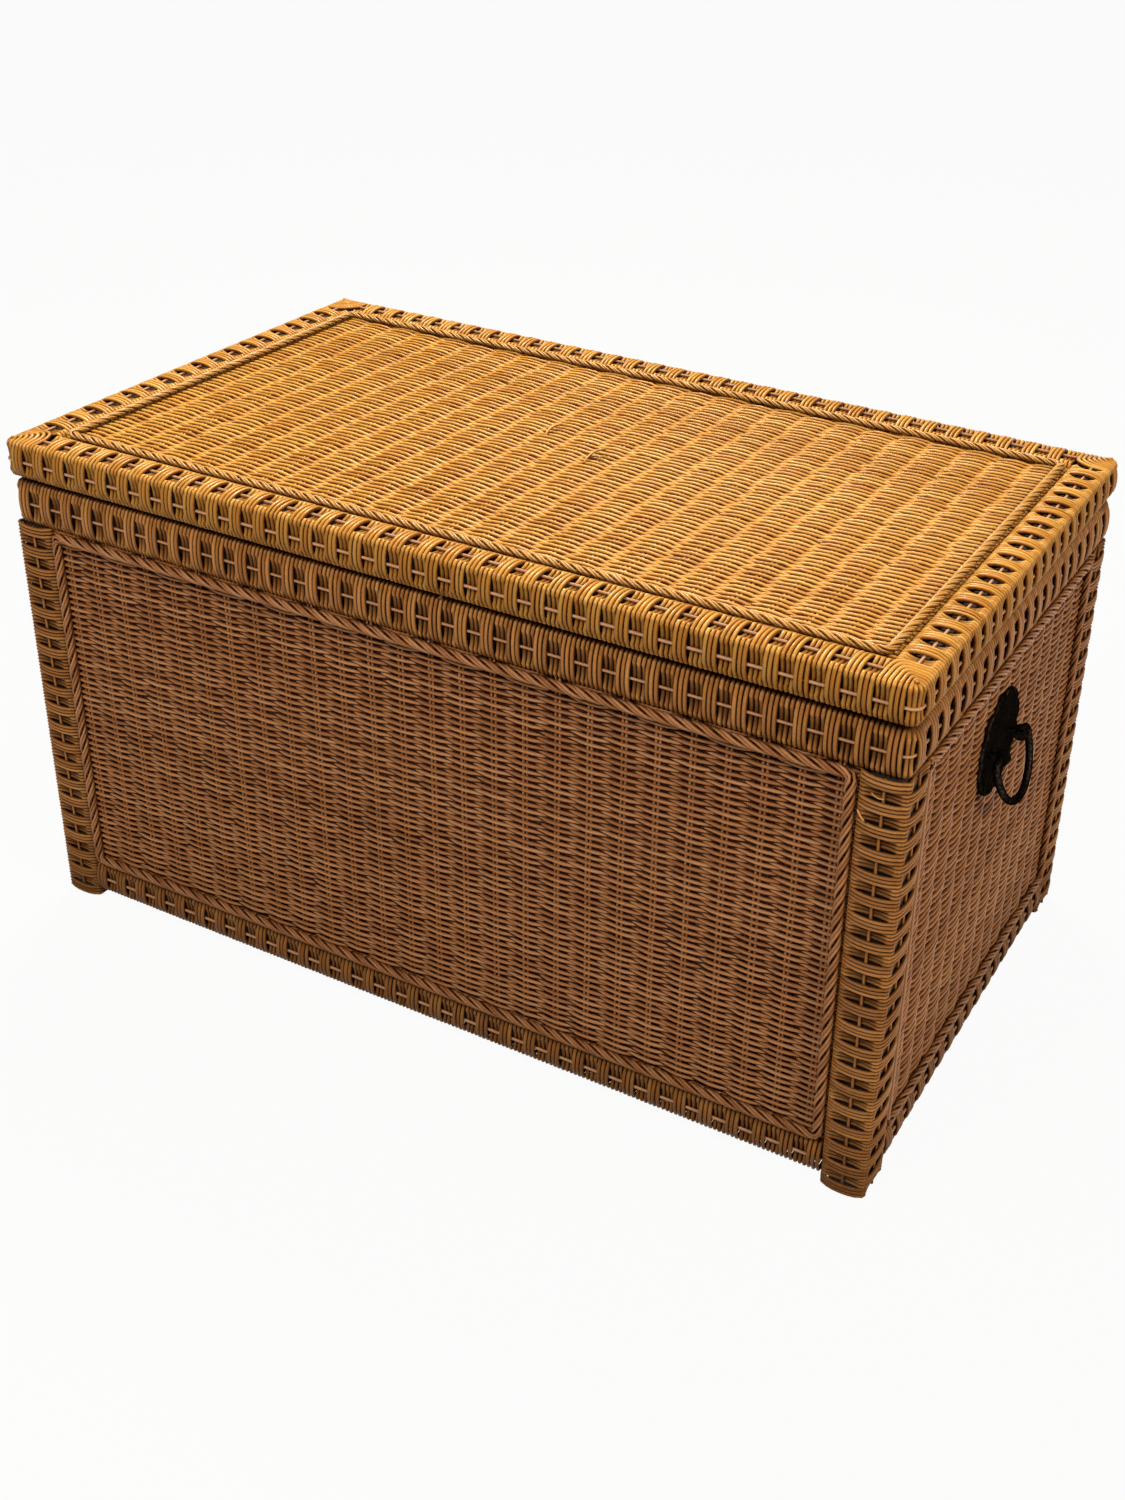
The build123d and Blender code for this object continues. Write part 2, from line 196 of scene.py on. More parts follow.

# %% [markdown]
# Reeds are peeled stems with a coat of old varnish. No two have the same tone, each one changes
# slowly along its length, and painted shade darkens a reed where it dips below its neighbours.
# The reeds also get darker towards the bottom, in the lowest 12 cm. Varnish shines on the
# crests only. The node group reads three values stored on the reeds: a tone for each reed, the
# distance along it, and how much painted shade it takes. It gives out the colour, the roughness,
# the share of varnish that still shines, and a fine height for the bump.

# %% Reed finish, shared by all the reeds
def blend_colour(tree, share, first, second):
    """A colour between two others; share is a socket."""
    made = put_node(tree, "ShaderNodeMix", data_type="RGBA")
    tree.links.new(share, made.inputs[0])
    for slot, value in ((6, first), (7, second)):
        if isinstance(value, bpy.types.NodeSocket):
            tree.links.new(value, made.inputs[slot])
        else:
            made.inputs[slot].default_value = value
    return made.outputs[2]


reed_finish = bpy.data.node_groups.new("reed_finish", "ShaderNodeTree")
for label in ("Pale", "Middle", "Deep", "Hollow Colour"):
    reed_finish.interface.new_socket(label, in_out="INPUT", socket_type="NodeSocketColor")
reed_finish.interface.new_socket("Hollow Amount", in_out="INPUT", socket_type="NodeSocketFloat")
reed_finish.interface.new_socket("Colour", in_out="OUTPUT", socket_type="NodeSocketColor")
reed_finish.interface.new_socket("Roughness", in_out="OUTPUT", socket_type="NodeSocketFloat")
reed_finish.interface.new_socket("Polish", in_out="OUTPUT", socket_type="NodeSocketFloat")
reed_finish.interface.new_socket("Height", in_out="OUTPUT", socket_type="NodeSocketFloat")

TONE_WEIGHT, TONE_BASE = 0.17, 0.175
SLOW_WEIGHT, FINE_WEIGHT, BROAD_WEIGHT = 0.16, 0.30, 0.10
LOW_DARK_HEIGHT, LOW_DARK_AMOUNT = 0.12, 0.75
tree = reed_finish
given = put_node(tree, "NodeGroupInput")
tone = put_node(tree, "ShaderNodeAttribute", attribute_name="tone").outputs["Fac"]
along = put_node(tree, "ShaderNodeAttribute", attribute_name="along").outputs["Fac"]
# How much painted shade each point of a reed takes.
painted_shade = put_node(tree, "ShaderNodeAttribute", attribute_name="painted_shade").outputs["Fac"]
place = put_node(tree, "ShaderNodeTexCoord").outputs["Object"]
ROW_SPREAD = 61.0
own_row = calculate(tree, "MULTIPLY", tone, ROW_SPREAD)
strip = put_node(tree, "ShaderNodeCombineXYZ", {"X": along, "Y": own_row}).outputs[0]
slow = noise(tree, strip, 24.0, 3.0, noise_dimensions="2D")
fine = noise(tree, place, 420.0, 4.0)
broad = noise(tree, place, 5.5, 2.0)
mark = calculate(tree, "MULTIPLY_ADD", tone, TONE_WEIGHT, TONE_BASE)
for source, weight in ((slow, SLOW_WEIGHT), (fine, FINE_WEIGHT), (broad, BROAD_WEIGHT)):
    mark = calculate(tree, "MULTIPLY_ADD", source, weight, mark)
lower = put_node(tree, "ShaderNodeMapRange", {
    "Value": mark, "From Min": 0.30, "From Max": 0.56}).outputs[0]
upper = put_node(tree, "ShaderNodeMapRange", {
    "Value": mark, "From Min": 0.54, "From Max": 0.82}).outputs[0]
body = blend_colour(tree, lower, given.outputs["Deep"], given.outputs["Middle"])
body = blend_colour(tree, upper, body, given.outputs["Pale"])
height = put_node(tree, "ShaderNodeSeparateXYZ", {"Vector": place}).outputs["Z"]
# Darker towards the bottom, over the lowest 12 cm.
darker_low = put_node(tree, "ShaderNodeMapRange", {
    "Value": height, "From Min": 0.0, "From Max": LOW_DARK_HEIGHT,
    "To Min": LOW_DARK_AMOUNT, "To Max": 0.0}).outputs[0]
# Painted shade stored on the reeds, and the darkening towards the bottom, draw the colour towards the
# hollow colour.
darkening = calculate(tree, "MAXIMUM", painted_shade, darker_low)
patchy = calculate(tree, "MULTIPLY_ADD", fine, 0.8, 0.6)
darkening = calculate(tree, "MULTIPLY", darkening, patchy)
darkening = calculate(tree, "MULTIPLY", darkening, given.outputs["Hollow Amount"], use_clamp=True)
body = blend_colour(tree, darkening, body, given.outputs["Hollow Colour"])
shine = put_node(tree, "ShaderNodeMapRange", {
    "Value": fine, "To Min": 0.30, "To Max": 0.52}).outputs[0]
grain = calculate(tree, "ADD", fine, slow)
polish = put_node(tree, "ShaderNodeMapRange", {
    "Value": darkening, "From Min": 0.1, "From Max": 0.7, "To Min": 1.0, "To Max": 0.0}).outputs[0]
put_node(tree, "NodeGroupOutput", {
    "Colour": body, "Roughness": shine, "Polish": polish, "Height": grain})
print("reed finish has", len(tree.nodes), "nodes")

# %% [markdown]
# The trunk has five colours of reed. The lid is honey, bleached by daylight, and its rope is the
# palest, like straw. The walls are brown, the bound poles of the body amber, and the binders
# were never stained. One function makes them all from the same finish.

# %% Five reed colours
REED_COLOURS = {
    # name: (pale, middle, deep, hollow colour for painted shade and the darker bottom, hollow amount,
    # varnish)
    "honey_reed": ((255, 214, 120), (232, 168, 72), (186, 116, 40), (78, 20, 4), 0.97, 0.50),
    "brown_reed": ((228, 172, 122), (186, 124, 74), (132, 78, 38), (40, 9, 1), 0.98, 0.30),
    "amber_reed": ((230, 170, 100), (184, 122, 58), (130, 76, 28), (40, 12, 1), 0.97, 0.32),
    "straw_reed": ((254, 218, 152), (230, 172, 94), (184, 122, 56), (50, 18, 3), 0.92, 0.50),
    "binder_reed": ((232, 184, 146), (204, 152, 112), (158, 108, 70), (70, 34, 14), 0.6, 0.10),
}


def reed_material(name, pale, middle, deep, hollow_colour, hollow_amount, varnish):
    made = new_material(name)
    tree = made.node_tree
    finish = put_node(tree, "ShaderNodeGroup", node_tree=reed_finish)
    for label, value in (("Pale", pale), ("Middle", middle), ("Deep", deep),
                         ("Hollow Colour", hollow_colour)):
        finish.inputs[label].default_value = paint(*value)
    finish.inputs["Hollow Amount"].default_value = hollow_amount
    bump = put_node(tree, "ShaderNodeBump", {
        "Strength": 0.25, "Distance": 0.0004, "Height": finish.outputs["Height"]})
    coat = calculate(tree, "MULTIPLY", finish.outputs["Polish"], varnish)
    surface = put_node(tree, "ShaderNodeBsdfPrincipled", {
        "Base Color": finish.outputs["Colour"], "Roughness": finish.outputs["Roughness"],
        "Normal": bump.outputs["Normal"], "Coat Weight": coat, "Coat Roughness": 0.28,
        "Specular IOR Level": 0.08})
    put_node(tree, "ShaderNodeOutputMaterial", {"Surface": surface.outputs[0]})
    return made


honey_reed, brown_reed, amber_reed, straw_reed, binder_reed = (
    reed_material(name, *look) for name, look in REED_COLOURS.items())
print("reed colours", list(REED_COLOURS))

# %% [markdown]
# Every reed is a tube that follows a centre line. Blender's curve bevel makes the tubes: each
# centre line goes in as one spline, and the whole bundle comes out as one mesh. The values that
# the finish reads are then stored on the points of each tube. The flanks of a reed take painted
# shade too, darker where its neighbours touch it.

# %% Laying reeds
MM = 0.001
draw = np.random.default_rng(20)
SIDES = 6
CREASE = 0.9
CREST = 0.97


def lay_reeds(name, lines, radius, closed=False, outward=None, both_faces=False, uneven=0.07,
              seam=0.74):
    """One mesh of round reeds.

    A line holds x, y, z in mm, its painted shade from how far it is sunk, and the way it faces.

    The facing may be left off where one outward direction serves the whole bundle. With
    both_faces, as in a woven wall, the reed is sunk on one face where it is proud on the other.
    A smaller seam brings the painted shade further up the flanks of each reed.
    """
    curve = bpy.data.curves.new(name, "CURVE")
    curve.dimensions = "3D"
    curve.bevel_depth = radius * MM
    curve.bevel_resolution = (SIDES - 4) // 2
    widths = 1 + uneven * draw.uniform(-1, 1, len(lines))
    for line, width in zip(lines, widths):
        spline = curve.splines.new("POLY")
        spline.points.add(len(line) - 1)
        places = np.column_stack([line[:, :3] * MM, np.ones(len(line))])
        spline.points.foreach_set("co", places.ravel())
        spline.points.foreach_set("radius", np.full(len(line), width))
        spline.use_cyclic_u = closed
        spline.use_smooth = True
    holder = bpy.data.objects.new(name, curve)
    mesh = bpy.data.meshes.new_from_object(holder)
    bpy.data.objects.remove(holder)
    bpy.data.curves.remove(curve)

    every = np.concatenate(lines)
    counts = [len(line) for line in lines]
    if len(mesh.vertices) != len(every) * SIDES:
        raise RuntimeError(f"{name}: {len(mesh.vertices)} points for {len(every)} rings")
    steps = [np.concatenate([[0], np.cumsum(np.linalg.norm(np.diff(line[:, :3], axis=0), axis=1))])
             for line in lines]
    facing = every[:, 4:7] if every.shape[1] == 7 else np.tile(outward, (len(every), 1))
    corners = np.zeros(len(mesh.vertices) * 3, np.float32)
    mesh.vertices.foreach_get("co", corners)
    away = corners.reshape(-1, 3) / MM - np.repeat(every[:, :3], SIDES, axis=0)
    lean = (away * np.repeat(facing, SIDES, axis=0)).sum(axis=1) / radius
    sunk = np.repeat(every[:, 3], SIDES)
    if both_faces:
        sunk = -sunk * lean
        lean = np.abs(lean)
    # Painted shade on the flanks of each reed, where its neighbours touch it.
    crease = np.clip((CREST - lean) / seam, 0, 1)
    values = {"tone": np.repeat(np.repeat(draw.random(len(lines)), counts), SIDES),
              "along": np.repeat(np.concatenate(steps) * MM, SIDES),
              "painted_shade": np.clip(np.maximum(sunk, CREASE * crease), 0, 1)}
    for key, numbers in values.items():
        stored = mesh.attributes.new(key, "FLOAT", "POINT")
        stored.data.foreach_set("value", numbers.astype(np.float32))
    if not closed:
        tubes = bmesh.new()
        tubes.from_mesh(mesh)
        open_ends = [edge for edge in tubes.edges if edge.is_boundary]
        bmesh.ops.holes_fill(tubes, edges=open_ends, sides=SIDES)
        tubes.to_mesh(mesh)
        tubes.free()
    return mesh


made_pieces = []


def place_piece(name, mesh, material, body, slot, *nodes):
    """Put a finished mesh in the scene, on its body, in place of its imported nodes."""
    mesh.materials.clear()
    mesh.materials.append(material)
    piece = bpy.data.objects.new(name, mesh)
    bpy.context.scene.collection.objects.link(piece)
    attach(piece, body)
    if nodes:
        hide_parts(*nodes)
    made_pieces.append(piece)
    triangles = sum(len(face.vertices) - 2 for face in mesh.polygons)
    print(name, triangles, "triangles")


# %% [markdown]
# The panels are randing, the plainest weave: one weaver at a time goes in front of a pair of
# thin stakes, then behind the next pair, and the row above does the opposite. So a weaver's
# centre line is a wave across the panel, and each row starts half a wave later. Painted shade
# lies where a weaver dips behind a stake, and the third power keeps it narrow. Fine reeds in
# painted shade fill the middle of the weave, so no light shows through a wall of the trunk.

# %% Woven panels
STAKE_HALF_GAP = 1.8
FILLER_PITCH = 1.5


def weave(origin, along, across, out, length, width, stakes, pitch, swing):
    """Centre lines of the weavers, stakes and painted-shade filler reeds of one flat panel."""
    origin, along, across, out = (np.array(v, float) for v in (origin, along, across, out))
    gap = length / stakes
    run = np.linspace(0, length, stakes * 4 + 1)
    rows = round(width / pitch)
    weavers = []
    for row in range(rows):
        jitter = 0.05 * draw.standard_normal(run.size)
        wave = np.cos(np.pi * (run / gap - 0.5 + row + jitter))
        wave = np.sign(wave) * np.abs(wave) ** 0.8
        drift = 0.18 * np.sin(run / length * draw.uniform(6, 24) + draw.uniform(0, 6.3))
        side = width / rows * (row + 0.5) + drift + draw.uniform(-0.08, 0.08)
        lift = swing * wave * (1 + 0.08 * draw.standard_normal(run.size))
        centre = origin + np.outer(run, along) + np.outer(side, across) + np.outer(lift, out)
        # Painted shade where the weaver dips behind a stake.
        darkening = np.sign(wave) * np.abs(wave) ** 3
        weavers.append(np.column_stack([centre, darkening]))
    uprights = []
    rise = np.linspace(0, width, 9)
    for stake in range(stakes):
        for half in (-STAKE_HALF_GAP, STAKE_HALF_GAP):
            spot = (stake + 0.5) * gap + half + 0.25 * draw.standard_normal(rise.size)
            centre = origin + np.outer(spot, along) + np.outer(rise, across)
            uprights.append(np.column_stack([centre, np.zeros(rise.size)]))
    # Fine reeds, all in painted shade, fill the middle of the weave.
    shade_fillers = []
    for spot in np.arange(0.8, length, FILLER_PITCH):
        ends = origin + np.outer((spot, spot), along) + np.outer((0, width), across)
        shade_fillers.append(np.column_stack([ends, (1.0, 1.0)]))
    return weavers, uprights, shade_fillers


PANELS = {
    # name: (origin, along, across, out, length, width, stakes, body)
    "front": ((-387, -239.6, 43), (1, 0, 0), (0, 0, 1), (0, -1, 0), 774, 355, 26, "trunk"),
    "back": ((387, 239.6, 43), (-1, 0, 0), (0, 0, 1), (0, 1, 0), 774, 355, 26, "trunk"),
    "left": ((-420.6, 203, 43), (0, -1, 0), (0, 0, 1), (-1, 0, 0), 406, 355, 14, "trunk"),
    "right": ((420.6, -203, 43), (0, 1, 0), (0, 0, 1), (1, 0, 0), 406, 355, 14, "trunk"),
    "lid": ((-393, -213, 470.4), (1, 0, 0), (0, 1, 0), (0, 0, 1), 786, 423, 25, "lid"),
}
STAKE, FILLER = 1.45, 0.85
# row pitch, weaver radius, swing, reed
LID_WEAVE = (3.5, 1.7, 1.8, honey_reed)
WALL_WEAVE = (3.1, 1.55, 1.95, brown_reed)
for name, (origin, along_way, across_way, out_way, length, width, stakes, rides) in PANELS.items():
    row, weaver, swing, reed = LID_WEAVE if name == "lid" else WALL_WEAVE
    weavers, uprights, shade_fillers = weave(origin, along_way, across_way, out_way, length, width,
                                       stakes, row, swing)
    mesh = lay_reeds(name, weavers, weaver, outward=out_way, both_faces=True)
    place_piece(f"{name}_weavers", mesh, reed, rides, "reed_weave", f"{name}_panel")
    mesh = lay_reeds(name, uprights, STAKE, outward=out_way, both_faces=True)
    place_piece(f"{name}_stakes", mesh, reed, rides, "reed_weave")
    mesh = lay_reeds(name, shade_fillers, FILLER, outward=out_way)
    place_piece(f"{name}_fillers", mesh, reed, rides, "reed_weave")

# %% [markdown]
# The floor of the trunk is coarser randing over a close layer of straight reeds. Both are cut
# back at the corners to clear the posts.

# %% Floor of the trunk
FLOOR_LEVEL, FLOOR_PITCH, FLOOR_SWING, FLOOR_REED = 20.3, 4.2, 0.9, 1.9
BED_LEVEL, BED_PITCH, BED_REED = 17.8, 3.4, 1.75
POST_EDGE_X, POST_EDGE_Y = 386.0, 201.0
weavers = weave((-394, -213, FLOOR_LEVEL), (1, 0, 0), (0, 1, 0), (0, 0, 1), 788, 426, 22,
                FLOOR_PITCH, FLOOR_SWING)[0]
for line in weavers:
    near_post = np.abs(line[:, 1]).min() > POST_EDGE_Y
    if near_post:
        line[:, 0] = np.clip(line[:, 0], -POST_EDGE_X, POST_EDGE_X)
mesh = lay_reeds("floor", weavers, FLOOR_REED, outward=(0, 0, 1), both_faces=True)
place_piece("floor_weavers", mesh, brown_reed, "trunk", "reed_weave", "floor_panel")
bed = []
for x in np.arange(-391.6, 392, BED_PITCH):
    reach = POST_EDGE_Y if abs(x) > POST_EDGE_X - 2 else 212.0
    bed.append(np.array([(x, y, BED_LEVEL, 0.0) for y in (-reach, 0.0, reach)]))
mesh = lay_reeds("floor", bed, BED_REED, outward=(0, 0, 1), both_faces=True, uneven=0.02)
place_piece("floor_stakes", mesh, brown_reed, "trunk", "reed_weave")

# %% [markdown]
# Every pole is bound with reeds laid side by side. A binder lies along the middle of a face, and
# the reeds pass over it three at a time and then under it three at a time. Over it they arch
# proud, and beside each arch is a dark hole. One section through the binding gives all its
# turns: the points round the pole, the way outward at each, and how much of an arch each takes.

# %% Section through a bound pole
GROUP = 3
ARCH_SHARES = (0.10, 0.28, 0.50, 0.72, 0.90)
# Painted shade on reeds that pass under the binder, and where the lid and the rim meet.
UNDER_SHADE, JOINT_SHADE = 0.75, 0.9
ARCH_PLAY, SHIFT_PLAY, SLANT_PLAY = (0.85, 1.1), 0.12, 0.16
GATHER = 0.08
HINGE_LIFT = 1.0


def arch(share, peak):
    """Height of an arch along a face, 0 at its ends and 1 at the binder."""
    share = np.asarray(share, float)
    climb = np.where(share < peak, share / peak, (1 - share) / (1 - peak))
    return np.sin(np.pi / 2 * climb) ** 0.6


def section(width, height, insets, bends, side_peak, top_peak):
    """Points round a pole, the way outward at each, and its share of the side and top arches.

    Insets are for the side, the top, the inner face and the bottom. Bends are for the corners,
    from the outer low one round by the top. A face whose peak is left out has no arches.
    """
    side, top, inner, low = insets
    o1, o0, z1, z0 = width - side, inner, height - top, low
    low_out, top_out, top_in, low_in = bends
    points, ways, on_side, on_top = [], [], [], []

    def add(point, way, side_share=0.0, top_share=0.0):
        points.append(point)
        ways.append(way)
        on_side.append(side_share)
        on_top.append(top_share)

    def corner(centre, bend, start):
        for step in range(3):
            turn = math.radians(start + 45 * step)
            way = (math.cos(turn), math.sin(turn))
            add((centre[0] + bend * way[0], centre[1] + bend * way[1]), way)

    for share in (ARCH_SHARES if side_peak else (0.5,)):
        reach = z0 + low_out + share * (z1 - top_out - z0 - low_out)
        add((o1, reach), (1, 0),
            side_share=float(arch(share, side_peak)) if side_peak else 0.0)
    corner((o1 - top_out, z1 - top_out), top_out, 0)
    for share in (ARCH_SHARES if top_peak else (0.5,)):
        reach = o1 - top_out - share * (o1 - top_out - o0 - top_in)
        add((reach, z1), (0, 1),
            top_share=float(arch(share, top_peak)) if top_peak else 0.0)
    corner((o0 + top_in, z1 - top_in), top_in, 90)
    add((o0, (z0 + z1) / 2), (-1, 0))
    corner((o0 + low_in, z0 + low_in), low_in, 180)
    add(((o0 + o1) / 2, z0), (0, -1))
    corner((o1 - low_out, z0 + low_out), low_out, 270)
    return tuple(np.array(v, float) for v in (points, ways, on_side, on_top))


def bind(shape, start, axis, out, up, length, count, relief, least_shade=0.0, side_first=True, sag=0.0,
         flat=()):
    """Centre lines of all the turns along one pole, three over and three under.

    relief is how far reeds rise and dip on the side, then on the top. The value after it is the
    least painted shade of each point, sag pulls the arches along the pole, and flat lists places
    kept low for a hinge, each as its middle and its reach.
    """
    points, ways, on_side, on_top = shape
    side_rise, side_dip, top_rise, top_dip = relief
    start, axis, out, up = (np.array(v, float) for v in (start, axis, out, up))
    lines = []
    for turn in range(count):
        spot = (turn + 0.5) * length / count
        over_side = (turn // GROUP) % 2 == (0 if side_first else 1)
        world_spot = float((start + axis * spot) @ np.abs(axis))
        keep_flat = any(abs(world_spot - middle) < reach for middle, reach in flat)
        if over_side and keep_flat:
            side_lift = HINGE_LIFT
        elif over_side:
            side_lift = side_rise * draw.uniform(*ARCH_PLAY)
        else:
            side_lift = -side_dip
        top_lift = -top_dip if over_side else top_rise * draw.uniform(*ARCH_PLAY)
        lift = on_side * side_lift + on_top * top_lift
        proud = on_side if over_side else on_top
        in_group = turn % GROUP - 1
        under = on_top if over_side else on_side
        shift = in_group * (GATHER * under - GATHER * proud) - sag * (proud + 0.5 * under)
        shift = shift + draw.uniform(-SHIFT_PLAY, SHIFT_PLAY)
        slant = SLANT_PLAY * draw.standard_normal() * np.linspace(-1, 1, len(points))
        shift = shift + slant * (on_side + on_top)
        place = points + ways * lift[:, None]
        centre = (start + np.outer(spot + shift, axis)
                  + np.outer(place[:, 0], out) + np.outer(place[:, 1], up))
        # Painted shade on the reeds that pass under the binder.
        sunk = UNDER_SHADE * np.maximum(on_side * (not over_side), on_top * over_side)
        facing = np.outer(ways[:, 0], out) + np.outer(ways[:, 1], up)
        lines.append(np.column_stack([centre, np.maximum(sunk, least_shade), facing]))
    return lines


print("arch at a quarter and at the binder", arch([0.25, 0.5], 0.5).round(2))

# %% [markdown]
# At the corners of the lid and of the rim no reed can go round one pole alone. Each one comes up
# the front face, turns a right angle across the top, and goes down the end face, and the next
# lies inside it, so the corner is a nest of bends round the tip.

# %% Nested corner
def nest_corner(corner, low, high, size, kinds, inset, bend, edge_top, edge_low, peak, relief,
                crown, shaded_face, face_shade):
    """Centre lines of the reeds that turn the corner, from the tip inward.

    kinds has o for over and u for under, crown is how far the bend over the top stands up, the
    next value is 1 or -1 for the top or the bottom that faces the joint and takes painted shade,
    and the last is the painted shade of the sides.
    """
    rise, dip = relief[:2]
    side_x, side_y = math.copysign(1, corner[0]), math.copysign(1, corner[1])
    bow = bend * math.pi / 4
    room = bow + size - inset - bend
    shares = np.array((0.0, *ARCH_SHARES))
    turns = np.radians((0, 45, 90))
    lines = []
    for place, kind in enumerate(kinds):
        reach = (place + 0.5) * room / len(kinds)
        if reach < bow:
            angle = math.pi / 4 - reach / bend
            point = np.array((inset + bend * (1 - math.sin(angle)),
                              inset + bend * (1 - math.cos(angle))))
            way = np.array((-math.sin(angle), -math.cos(angle)))
        else:
            point = np.array((inset + bend + reach - bow, inset))
            way = np.array((0.0, -1.0))
        lift = rise if kind == "o" else -dip * (0.55 if place < 2 else 1.0)
        climb = high - edge_top - low - edge_low
        up_face = [(point + way * lift * a, low + edge_low + s * climb, lift * a, (*way, 0.0))
                   for s, a in zip(shares, arch(shares, peak))]
        over = [(point - way * edge_top * (1 - math.cos(t)),
                 high - edge_top + edge_top * math.sin(t), 0.0,
                 (*way * math.cos(t), math.sin(t))) for t in turns]
        under = [(point - way * edge_low * (1 - math.cos(t)),
                  low + edge_low - edge_low * math.sin(t), 0.0,
                  (*way * math.cos(t), -math.sin(t))) for t in turns[1:]]

        def across(start, height, hump, facing):
            """The bend over the top or the bottom, from one face to the other."""
            bent = []
            for step in range(1, 8):
                t = math.pi / 2 * step / 8
                a = start[1] + (start[0] - start[1]) * math.cos(t) ** 0.45
                b = start[1] + (start[0] - start[1]) * math.sin(t) ** 0.45
                bent.append((np.array((a, b)), height + hump * math.sin(2 * t), 0.0,
                             (0.0, 0.0, facing)))
            return bent

        def mirrored(points):
            return [(p[::-1], z, v, (w[1], w[0], w[2])) for p, z, v, w in points]

        first = up_face + over
        ring = first + across(over[-1][0], high, crown, 1.0) + mirrored(first[::-1])
        ring += mirrored(under) + mirrored(across(under[-1][0], low, 0.0, -1.0))
        ring += under[::-1]
        # Painted shade on reeds that pass under, on the faces where lid and rim meet, and on the
        # sides.
        lines.append(np.array([
            (corner[0] - side_x * p[0], corner[1] - side_y * p[1], z,
             max(face_shade * (1 - abs(w[2])) ** 2, -UNDER_SHADE * v / dip, JOINT_SHADE * shaded_face * w[2]),
             -side_x * w[0], -side_y * w[1], w[2]) for p, z, v, w in ring]))
    return lines


def round_frame(x0, x1, y0, y1, bend, height):
    """A closed line round a frame at one height, with round corners."""
    line = []
    for middle_x, middle_y, start in ((x1 - bend, y0 + bend, -90), (x1 - bend, y1 - bend, 0),
                                      (x0 + bend, y1 - bend, 90), (x0 + bend, y0 + bend, 180)):
        for step in range(7):
            turn = math.radians(start + 15 * step)
            across, away = math.cos(turn), math.sin(turn)
            line.append((middle_x + bend * across, middle_y + bend * away, height, 0.0,
                         across, away, 0.0))
    return np.array(line)


# %% [markdown]
# The lid and the rim below it are each a frame of four bound poles. All four poles of a frame
# share one section, and the nested corners join them. The lid's poles have arches on the side
# and on the top. The rim's have them on the side only, because the lid closes on its top.

# %% Bound poles of the lid and of the rim
WRAP, BINDER = 1.9, 1.25
SEAM = 0.6
RELIEF = (2.6, 2.3, 2.8, 2.8)
INSET, SNUG = 3.5, 1.8
HINGE_SPOTS = ((-250.0, 29.0), (250.0, 29.0))
FRAMES = {
    # name: (x0, x1, y0, y1, z0, z1, depth of its poles)
    "lid": (-430, 430, -250, 247, 441.0, 479.0, 37),
    "rim": (-428, 428, -247, 247, 398.0, 440.7, 34),
    "base": (-428, 428, -247, 247, 10, 43, 34),
}
LONG_TURNS, SHORT_TURNS = 195, 105
TOP_PEAK = 0.5
NEST_BEND, NEST_REED = 8.0, WRAP * 0.96


